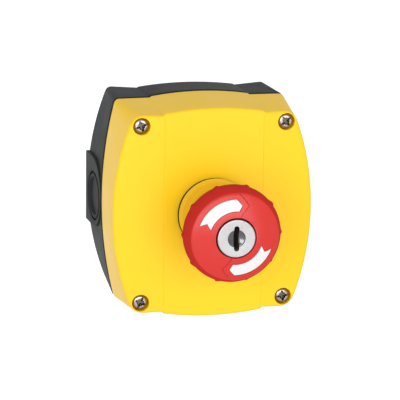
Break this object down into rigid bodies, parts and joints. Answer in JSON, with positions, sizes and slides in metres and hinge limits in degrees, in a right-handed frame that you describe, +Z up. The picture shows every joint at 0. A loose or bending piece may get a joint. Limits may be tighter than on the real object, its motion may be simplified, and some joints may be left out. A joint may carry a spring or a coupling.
{
  "type": "emergency stop station",
  "caption": "Wall-mounted emergency stop: bowed yellow cover on a dark base, red mushroom button with key lock, latch and contact block.",
  "frame": {"origin": "centre of the base's back face, where it meets the wall", "axes": "+Y into the wall, the button faces -Y, +Z up the wall, +X to the right as seen from the front"},
  "size_m": [0.0836, 0.0961, 0.0874],
  "materials": {
    "cover_yellow": "satin moulded",
    "base_grey": "satin moulded",
    "button_red": "semi-gloss",
    "arrow_white": "satin",
    "chrome": "satin chrome plate",
    "screw_steel": "plated",
    "spring_steel": "bright",
    "brass": "turned",
    "rubber_black": "matt",
    "inner_grey": "matt",
    "plunger_white": "matt"
  },
  "bodies": {
    "housing": {"rear_base": "base_grey", "front_cover": "cover_yellow", "cover_gasket": "rubber_black", "cover_screw_1": "screw_steel", "cover_screw_2": "screw_steel", "cover_screw_3": "screw_steel", "cover_screw_4": "screw_steel", "thread_insert_1": "brass", "thread_insert_2": "brass", "thread_insert_3": "brass", "thread_insert_4": "brass", "actuator_body": "cover_yellow", "bezel_gasket": "rubber_black", "fixing_nut": "base_grey", "mounting_adapter": "inner_grey", "adapter_screw": "screw_steel", "contact_block_housing": "inner_grey", "contact_block_cover": "inner_grey", "fixed_contact_upper": "brass", "fixed_contact_lower": "brass", "terminal_clamp_upper": "spring_steel", "terminal_clamp_lower": "spring_steel", "terminal_screw_upper": "screw_steel", "terminal_screw_lower": "screw_steel"},
    "head": {"mushroom_cap": "button_red", "arrow_inlay_upper": "arrow_white", "arrow_inlay_lower": "arrow_white", "lock_barrel": "chrome", "lock_clip": "spring_steel", "pusher": "inner_grey", "stem_seal": "rubber_black", "return_spring": "spring_steel"},
    "key_rotor": {"lock_rotor": "chrome", "lock_cam": "brass"},
    "latch": {"latch_slider": "spring_steel", "latch_spring": "spring_steel"},
    "contact_carrier": {"contact_plunger": "plunger_white", "contact_bridge": "brass", "contact_spring": "spring_steel"}
  },
  "joints": [
    {"name": "button_press", "type": "slide", "parent": "housing", "child": "head", "axis": [0, 1, 0], "range_m": [0, 0.0055], "stiffness_N_per_m": 1200, "deforming": ["return_spring"]},
    {"name": "key_turn", "type": "hinge", "parent": "head", "child": "key_rotor", "pos_m": [0, -0.09, 0], "axis": [0, 1, 0], "range_deg": [0, 45], "stiffness_Nm_per_rad": 0.005},
    {"name": "latch_slide", "type": "slide", "parent": "head", "child": "latch", "axis": [1, 0, 0], "range_m": [0, 0.00177], "deforming": ["latch_spring"]},
    {"name": "contact_slide", "type": "slide", "parent": "housing", "child": "contact_carrier", "axis": [0, 1, 0], "range_m": [0, 0.0055], "deforming": ["contact_spring"]}
  ],
  "couplings": [
    {"joint": "key_turn", "follows": "latch_slide", "rad_per_m": 444},
    {"joint": "contact_slide", "follows": "button_press", "ratio": 1}
  ]
}
